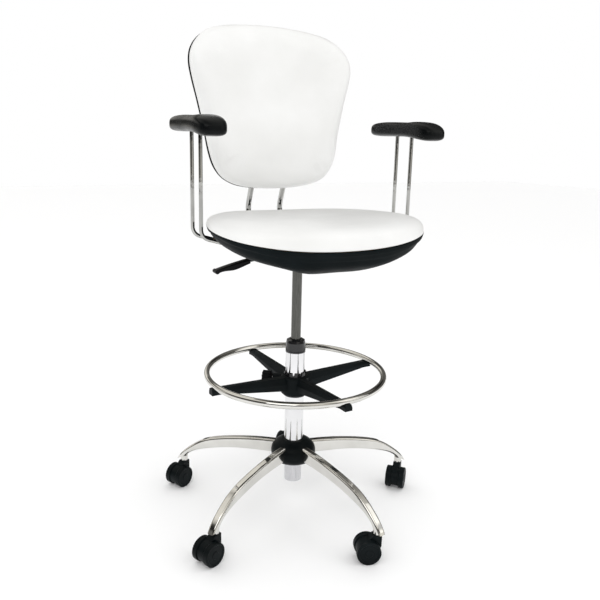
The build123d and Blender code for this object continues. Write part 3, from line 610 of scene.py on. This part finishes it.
# crown of the cushion
CROWN_Z = 0.8655
CROWN_SIDE_RISE = 0.010
CROWN_FRONT_Y = -0.09
CROWN_FRONT_REACH = 0.19
CROWN_FRONT_FALL = 0.012
CROWN_REAR_Y = 0.06
CROWN_REAR_REACH = 0.13
CROWN_REAR_FALL = 0.004
DISH_DEPTH = 0.005
DISH_HALF_WIDTH = 0.12
DISH_HALF_DEPTH = 0.13
DISH_Y = 0.02

# side of the seat cushion from its crown's edge to the seam: inset from the rim, drop below the crown
SEAT_SIDE = [
    (0.050, 0.0008),
    (0.036, 0.0028),
    (0.024, 0.0062),
    (0.0145, 0.0110),
    (0.0075, 0.0170),
    (0.0030, 0.0240),
    (0.0008, 0.0320),
    (0.0000, 0.0410),
]
# underside of the seat cushion from the seam to the middle: inset from the rim, scale
SEAT_UNDERSIDE = [
    (0.004, 1.0),
    (0.012, 1.0),
    (0.03, 0.97),
    (0.05, 0.8),
    (0.05, 0.55),
    (0.05, 0.3),
    (0.05, 0.1),
]
SEAT_RINGS = 96
CROWN_SCALES = [0.05, 0.15, 0.26, 0.37, 0.48, 0.59, 0.69, 0.78, 0.86, 0.93]
SEAT_TRAVEL = 0.005


def seam_z(x, y):
    front = min(y, 0) / SEAT_HALF_DEPTH
    side = x / SEAT_HALF_WIDTH
    return SEAM_Z + SEAM_SLOPE * y + SEAM_SIDE_RISE * side**2 - SEAM_FRONT_FALL * front**2


def cushion_floor(x, y):
    return seam_z(x, y) + SEAM_GAP


def seat_point(turn, inset, scale=1.0):
    """A point of the seat's plan, drawn in from the rim by inset, then scaled about the middle."""
    across = signed_power(math.cos(turn), 2 / SEAT_POWER)
    along = signed_power(math.sin(turn), 2 / SEAT_POWER)
    x = (SEAT_HALF_WIDTH - inset) * scale * across * (1 - SEAT_TAPER * along * scale)
    return x, (SEAT_HALF_DEPTH - inset) * scale * along + SEAT_CENTRE_Y


def seat_top(x, y):
    """Height of the cushion's crown: a low saddle, falling away at the front and the rear."""
    side = x / SEAT_HALF_WIDTH
    front = max(0, CROWN_FRONT_Y - y) / CROWN_FRONT_REACH
    rear = max(0, y - CROWN_REAR_Y) / CROWN_REAR_REACH
    dish = DISH_DEPTH * math.exp(-((x / DISH_HALF_WIDTH) ** 2) - ((y - DISH_Y) / DISH_HALF_DEPTH) ** 2)
    saddle = CROWN_Z + CROWN_SIDE_RISE * side**2
    return saddle - CROWN_FRONT_FALL * front**2 - CROWN_REAR_FALL * rear**2 - dish


def seat_ring(turns, inset, scale, height):
    """One ring of the seat's plan, with its height a function of x and y."""
    places = [seat_point(turn, inset, scale) for turn in turns]
    return [(x, y, height(x, y)) for x, y in places]


def seat_side_ring(turns, inset, drop):
    """One ring of the cushion's side, with its drop fitted between the crown and the seam."""
    ring = []
    for turn in turns:
        x, y = seat_point(turn, inset)
        crown = seat_top(*seat_point(turn, SEAT_SIDE[0][0]))
        height = crown - seam_z(x, y) - SEAM_GAP
        ring.append((x, y, crown - drop * min(1, height / SEAT_SIDE[-1][1])))
    return ring


def seat_foot_ring(turns, above, share):
    """One ring of the cushion's foot, part of the way down from the ring above to the seam."""
    ring = []
    for turn, (_, _, top) in zip(turns, above):
        x, y = seat_point(turn, 0.0)
        ring.append((x, y, top + (cushion_floor(x, y) - top) * share))
    return ring


def make_seat_cushion():
    turns = full_turn(SEAT_RINGS)
    rings = [seat_ring(turns, SEAT_SIDE[0][0], scale, seat_top) for scale in CROWN_SCALES]
    for inset, drop in SEAT_SIDE:
        rings.append(seat_side_ring(turns, inset, drop))
    side_foot = rings[-1]
    for share in (0.5, 1.0):
        rings.append(seat_foot_ring(turns, side_foot, share))
    seam_ring = len(rings) - 1
    for inset, scale in SEAT_UNDERSIDE:
        rings.append(seat_ring(turns, inset, scale, cushion_floor))
    verts, faces = closed_rings(rings)
    cushion = new_piece("seat_cushion_cover", verts, faces, "vinyl_white")
    held = list(range(seam_ring * SEAT_RINGS, len(rings) * SEAT_RINGS))
    held.append(len(verts) - 1)

    def keep(point):
        return Vector((point.x, point.y, max(point.z, cushion_floor(point.x, point.y))))

    puff(cushion, SEAT_TRAVEL, held, keep)
    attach(cushion, "seat")
    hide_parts("seat_cushion")


make_seat_cushion()

# ---- Back cushion --------------------------------------------------------

BACK_BOTTOM_Z = 0.921
BACK_TOP_Z = 1.386
BACK_MIDDLE = Vector((0, 1.165))
BACK_HALF_WIDTH = 0.250
BACK_SEAM_Y = 0.190
BACK_LEAN = 0.060
BACK_WRAP = 0.040

BACK_HALF_OUTLINE = [
    (0.0, 1.386),
    (0.095, 1.3805),
    (0.165, 1.366),
    (0.212, 1.340),
    (0.240, 1.305),
    (0.248, 1.268),
    (0.242, 1.226),
    (0.226, 1.160),
    (0.209, 1.080),
    (0.198, 1.022),
    (0.182, 0.980),
    (0.150, 0.947),
    (0.095, 0.9275),
    (0.0, 0.921),
]
# side of the back cushion from its rear seam to its front: inset from the outline, depth
BACK_SIDE = [
    (0.0015, 0.0008),
    (-0.0006, 0.0060),
    (-0.0008, 0.0140),
    (0.0006, 0.0220),
    (0.0040, 0.0295),
    (0.0095, 0.0360),
    (0.0180, 0.0410),
    (0.0290, 0.0440),
    (0.0420, 0.0455),
]
BACK_REAR_SCALES = [0.1, 0.3, 0.5, 0.7, 0.85, 0.94, 0.98]
BACK_CROWN = 0.0035
LUMBAR_DEPTH = 0.004
LUMBAR_Z = 1.03
LUMBAR_HALF_HEIGHT = 0.09
BACK_TRAVEL = 0.004


def back_y(x, z):
    """Where the seam of the back is: leaning to the rear as it rises, wrapped forwards at its sides."""
    rise = (z - BACK_BOTTOM_Z) / (BACK_TOP_Z - BACK_BOTTOM_Z)
    return BACK_SEAM_Y + BACK_LEAN * rise - BACK_WRAP * (x / BACK_HALF_WIDTH) ** 2


def back_outline(per_span):
    """Smooth closed curve through both halves of the outline."""
    points = BACK_HALF_OUTLINE + [(-x, z) for x, z in reversed(BACK_HALF_OUTLINE[1:-1])]
    curve = []
    count = len(points)
    for index in range(count):
        around = [Vector(points[(index + shift) % count]) for shift in (-1, 0, 1, 2)]
        for step in range(per_span):
            curve.append(between(*around, step / per_span))
    return curve


def drawn_in(outline, inset):
    """The outline moved in towards its middle by inset, along its normals."""
    count = len(outline)
    moved = []
    for index, point in enumerate(outline):
        along = outline[(index + 1) % count] - outline[index - 1]
        normal = Vector((along.y, -along.x)).normalized()
        if normal.dot(BACK_MIDDLE - point) < 0:
            normal.negate()
        moved.append(point + normal * inset)
    return moved


def scaled(outline, scale):
    return [BACK_MIDDLE + (point - BACK_MIDDLE) * scale for point in outline]


def before_back(outline, depth):
    """The outline as a ring in front of the seam's surface."""
    return [(p.x, back_y(p.x, p.y) - depth, p.y) for p in outline]


def back_front_ring(outline, scale):
    """One ring of the cushion's front, with its crown and its lumbar swelling."""
    ring = []
    for p in scaled(outline, scale):
        lumbar = LUMBAR_DEPTH * math.exp(-(((p.y - LUMBAR_Z) / LUMBAR_HALF_HEIGHT) ** 2)) * (1 - scale**4)
        depth = BACK_SIDE[-1][1] + BACK_CROWN * (1 - scale**2) + lumbar
        ring.append((p.x, back_y(p.x, p.y) - depth, p.y))
    return ring


def make_back_cushion():
    outline = back_outline(4)
    seam = drawn_in(outline, BACK_SIDE[0][0])
    rings = [before_back(scaled(seam, scale), SEAM_GAP) for scale in BACK_REAR_SCALES]
    held = list(range((len(rings) + 1) * len(outline)))
    for inset, depth in BACK_SIDE:
        rings.append(before_back(drawn_in(outline, inset), depth))
    front = drawn_in(outline, BACK_SIDE[-1][0])
    for scale in reversed(CROWN_SCALES):
        rings.append(back_front_ring(front, scale))
    verts, faces = closed_rings(rings)
    cushion = new_piece("back_cushion_cover", verts, faces, "vinyl_white")
    held.append(len(verts) - 2)

    def keep(point):
        rear = back_y(point.x, point.z) - SEAM_GAP
        return Vector((point.x, min(point.y, rear), point.z))

    puff(cushion, BACK_TRAVEL, held, keep)
    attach(cushion, "seat")
    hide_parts("back_cushion")


make_back_cushion()

# ---- Seat shell ----------------------------------------------------------

# height, plan scales across, to the front and to the rear, and the outline's power
SHELL_LEVELS = [
    (0.850, 1.0, 1.0, 1.0, 2.5),
    (0.838, 0.975, 0.998, 0.995, 2.6),
    (0.826, 0.955, 0.99, 0.985, 2.7),
    (0.805, 0.875, 0.98, 0.95, 3.0),
    (0.782, 0.72, 0.965, 0.834, 3.6),
    (0.760, 0.475, 0.92, 0.693, 4.3),
    (0.741, 0.29, 0.72, 0.55, 4.5),
    (0.7310, 0.17, 0.40, 0.44, 4.5),
]
STEPS_PER_LEVEL = 4
SHELL_RINGS = 192
EVEN_LEVEL = 4
EVEN_STEPS = 2880
CORNER_DROP = 0.003
SHELL_WALL = 0.0035
SEAT_MIDDLE = Vector((0, SEAT_CENTRE_Y, 0.83))

# upright band under the rim: its height, the shares of it that get a ring, how it leans in
RIM_BAND = 0.006
RIM_SHARES = (0, 0.4, 0.8)
RIM_LEAN = 0.35
CEILING_SLOPE = 0.25

COLUMN_HOLE_R = 0.024
COLUMN_HOLE_Z = (0.70, 0.745)
# arm recess in y and z, and how far out it runs in x
RECESS_LOW = (-0.0985, 0.784)
RECESS_HIGH = (0.0135, 0.8145)
RECESS_CORNER_R = 0.010
RECESS_X = (0.198, 0.34)
POST_X = 0.052
POST_Z = 0.8135
POST_HOLE_R = 0.0095
POST_HOLE_Y = (0.10, 0.26)
# lever slot in x and y, and in z
SLOT_LOW = (-0.196, -0.044)
SLOT_HIGH = (-0.094, 0.006)
SLOT_CORNER_R = 0.008
SLOT_Z = (0.735, 0.782)


def shell_levels():
    """Smooth steps between the shell's levels, from the rim down."""
    steps = []
    last = len(SHELL_LEVELS) - 1
    for index in range(last):
        around = [Vector(SHELL_LEVELS[min(max(index + shift, 0), last)]) for shift in (-1, 0, 1, 2)]
        for step in range(STEPS_PER_LEVEL):
            steps.append(between(*around, step / STEPS_PER_LEVEL))
    return steps + [Vector(SHELL_LEVELS[-1])]


def shell_point(turn, level):
    height, across_scale, front_scale, rear_scale, power = level
    across = signed_power(math.cos(turn), 2 / power)
    along = signed_power(math.sin(turn), 2 / power)
    depth_scale = rear_scale if along > 0 else front_scale
    x = SEAT_HALF_WIDTH * across_scale * across * (1 - SEAT_TAPER * along * depth_scale)
    if along < 0:
        height -= CORNER_DROP * (across * along) ** 2
    return Vector((x, SEAT_HALF_DEPTH * depth_scale * along + SEAT_CENTRE_Y, height))


def even_turns(count):
    """Turns that space the points evenly round the shell at half its depth."""
    level = SHELL_LEVELS[EVEN_LEVEL]
    fine = [shell_point(2 * math.pi * step / EVEN_STEPS, level) for step in range(EVEN_STEPS + 1)]
    travelled = [0.0]
    for before, after in zip(fine, fine[1:]):
        travelled.append(travelled[-1] + (after - before).length)
    turns = []
    place = 0
    for step in range(count):
        while travelled[place + 1] < travelled[-1] * step / count:
            place += 1
        turns.append(2 * math.pi * place / EVEN_STEPS)
    return turns


def rim_ring(turns, share):
    """One ring of the band under the rim, from the seam down."""
    ring = []
    for turn in turns:
        rim = shell_point(turn, SHELL_LEVELS[0])
        below = shell_point(turn, SHELL_LEVELS[1])
        rim_z = seam_z(rim.x, rim.y) - SEAM_GAP
        low_z = min(rim_z - RIM_BAND, below.z)
        point = rim.lerp(Vector((below.x, below.y, 0)), RIM_LEAN * share)
        ring.append((point.x, point.y, rim_z + (low_z - rim_z) * share))
    return ring


def bowl_ring(turns, level):
    """One ring of the bowl, kept below the rim's band."""
    ring = []
    for turn in turns:
        point = shell_point(turn, level)
        rim = shell_point(turn, SHELL_LEVELS[0])
        fall = (SHELL_LEVELS[0][0] - level[0]) * CEILING_SLOPE
        ceiling = seam_z(rim.x, rim.y) - SEAM_GAP - RIM_BAND - fall
        ring.append((point.x, point.y, min(point.z, ceiling)))
    return ring


def shell_openings():
    """The column's hole, the two arm recesses, the two post holes and the lever's slot."""
    openings = [prism(circle((0, 0), COLUMN_HOLE_R), 2, *COLUMN_HOLE_Z)]
    for side in (-1, 1):
        recess = rounded_box(RECESS_LOW, RECESS_HIGH, RECESS_CORNER_R)
        openings.append(prism(recess, 0, *sorted(side * x for x in RECESS_X)))
        openings.append(prism(circle((side * POST_X, POST_Z), POST_HOLE_R), 1, *POST_HOLE_Y))
    openings.append(prism(rounded_box(SLOT_LOW, SLOT_HIGH, SLOT_CORNER_R), 2, *SLOT_Z))
    return openings


def make_seat_shell():
    """The moulded underside, with its openings cut through."""
    turns = even_turns(SHELL_RINGS)
    rings = [rim_ring(turns, share) for share in RIM_SHARES]
    for level in shell_levels()[STEPS_PER_LEVEL:]:
        rings.append(bowl_ring(turns, level))
    verts, faces = open_rings(rings)
    shell = new_piece("seat_shell_bowl", verts, faces, "seat_shell_black")
    first = shell.data.polygons[0]
    faces_out = first.normal.dot(first.center - SEAT_MIDDLE) > 0
    wall = shell.modifiers.new("wall", "SOLIDIFY")
    wall.thickness = SHELL_WALL
    wall.offset = -1 if faces_out else 1
    apply_modifiers(shell)
    cut(shell, shell_openings())
    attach(shell, "seat")
    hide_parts("seat_shell")


make_seat_shell()

# ---- Back shell ----------------------------------------------------------

# rear pan of the back, from the seam to its flat: inset from the outline, depth behind the seam
BACK_PAN = [
    (0.0000, 0.0003),
    (-0.0006, 0.0040),
    (0.0000, 0.0085),
    (0.0040, 0.0118),
    (0.0120, 0.0138),
    (0.0250, 0.0148),
    (0.0400, 0.0150),
]
PAN_OUTER_SCALES = [0.88, 0.72, 0.56, 0.4, 0.25, 0.12]
PAN_INNER_SCALES = [0.95, 0.72, 0.4, 0.12]
TUCK_FROM_Z = 1.32
TUCK = 0.05
PAN_WALL = 0.0025
PAN_GAP = 0.0003


def pan_ring(outline, depth):
    """The outline as a ring behind the seam, drawn down behind the cushion near its top."""
    ring = []
    for place in outline:
        z = place.y - TUCK * max(0, place.y - TUCK_FROM_Z)
        ring.append((place.x, back_y(place.x, z) + depth, z))
    return ring


def make_back_shell():
    outline = back_outline(6)
    flat_inset, flat_depth = BACK_PAN[-1]
    flat = drawn_in(outline, flat_inset)
    outer = [pan_ring(drawn_in(outline, inset), depth) for inset, depth in BACK_PAN]
    outer += [pan_ring(scaled(flat, scale), flat_depth) for scale in PAN_OUTER_SCALES]
    inner = []
    for inset, depth in BACK_PAN[:-1]:
        inner.append(pan_ring(drawn_in(outline, inset + PAN_WALL), max(depth - PAN_WALL, PAN_GAP)))
    inner += [pan_ring(scaled(flat, scale), flat_depth - PAN_WALL) for scale in PAN_INNER_SCALES]
    verts, faces = closed_rings(inner[::-1] + outer)
    shell = new_piece("back_shell_pan", verts, faces, "back_shell_black")
    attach(shell, "seat")
    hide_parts("back_shell")


make_back_shell()

# ---- Arm pads ------------------------------------------------------------

ARM_X = 0.3045
# from rear to front: y, half width, top, bottom
PAD_STATIONS = [
    (0.0965, 0.016, 1.1070, 1.0880),
    (0.0930, 0.026, 1.1125, 1.0820),
    (0.0800, 0.0335, 1.1165, 1.0790),
    (0.0500, 0.0365, 1.1195, 1.0780),
    (0.0100, 0.0365, 1.1200, 1.0780),
    (-0.0300, 0.0350, 1.1190, 1.0775),
    (-0.0700, 0.0350, 1.1180, 1.0765),
    (-0.1050, 0.0365, 1.1180, 1.0730),
    (-0.1350, 0.0380, 1.1165, 1.0685),
    (-0.1580, 0.0370, 1.1120, 1.0655),
    (-0.1760, 0.0330, 1.1040, 1.0660),
    (-0.1870, 0.0250, 1.0950, 1.0695),
    (-0.1910, 0.0140, 1.0880, 1.0750),
]
PAD_RING = 40
PAD_SUBDIVISIONS = 2
PAD_WIDEST = 0.45
PAD_ROUNDNESS = 0.62
VALLEY_Y = -0.070
VALLEY_DEPTH = 0.0055
VALLEY_HALF_WIDTH = 0.024
VALLEY_SKEW = 0.030
PAD_DISH = 0.002
FRONT_DISH_SHARE = 0.3


def pad_ring(side, y, half_width, top, bottom):
    """One section of a pad, lowered on top by the valley and the dish."""
    ring = []
    middle = bottom + (top - bottom) * PAD_WIDEST
    dish_share = 1 if y > VALLEY_Y else FRONT_DISH_SHARE
    for turn in full_turn(PAD_RING):
        across = signed_power(math.cos(turn), PAD_ROUNDNESS)
        up = signed_power(math.sin(turn), PAD_ROUNDNESS)
        height = (top - middle) * up if up > 0 else (middle - bottom) * up
        offset = (y - VALLEY_Y + VALLEY_SKEW * across) / VALLEY_HALF_WIDTH
        valley = VALLEY_DEPTH * math.exp(-(offset**2)) * max(0, up) * (0.75 - 0.25 * across)
        dish = PAD_DISH * (1 - across**2) * max(0, up) * dish_share
        ring.append((side * (ARM_X + half_width * across), y, middle + height - valley - dish))
    return ring


def make_arm_pad(name, side, node):
    """An elbow pad: flat-topped, with a valley across it before the drooping front."""
    verts, faces = closed_rings([pad_ring(side, *station) for station in PAD_STATIONS])
    pad = new_piece(name, verts, faces, "pad_black")
    subdivide(pad, PAD_SUBDIVISIONS)
    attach(pad, "seat")
    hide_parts(node)


make_arm_pad("arm_pad_left_skin", 1, "arm_pad_left")
make_arm_pad("arm_pad_right_skin", -1, "arm_pad_right")
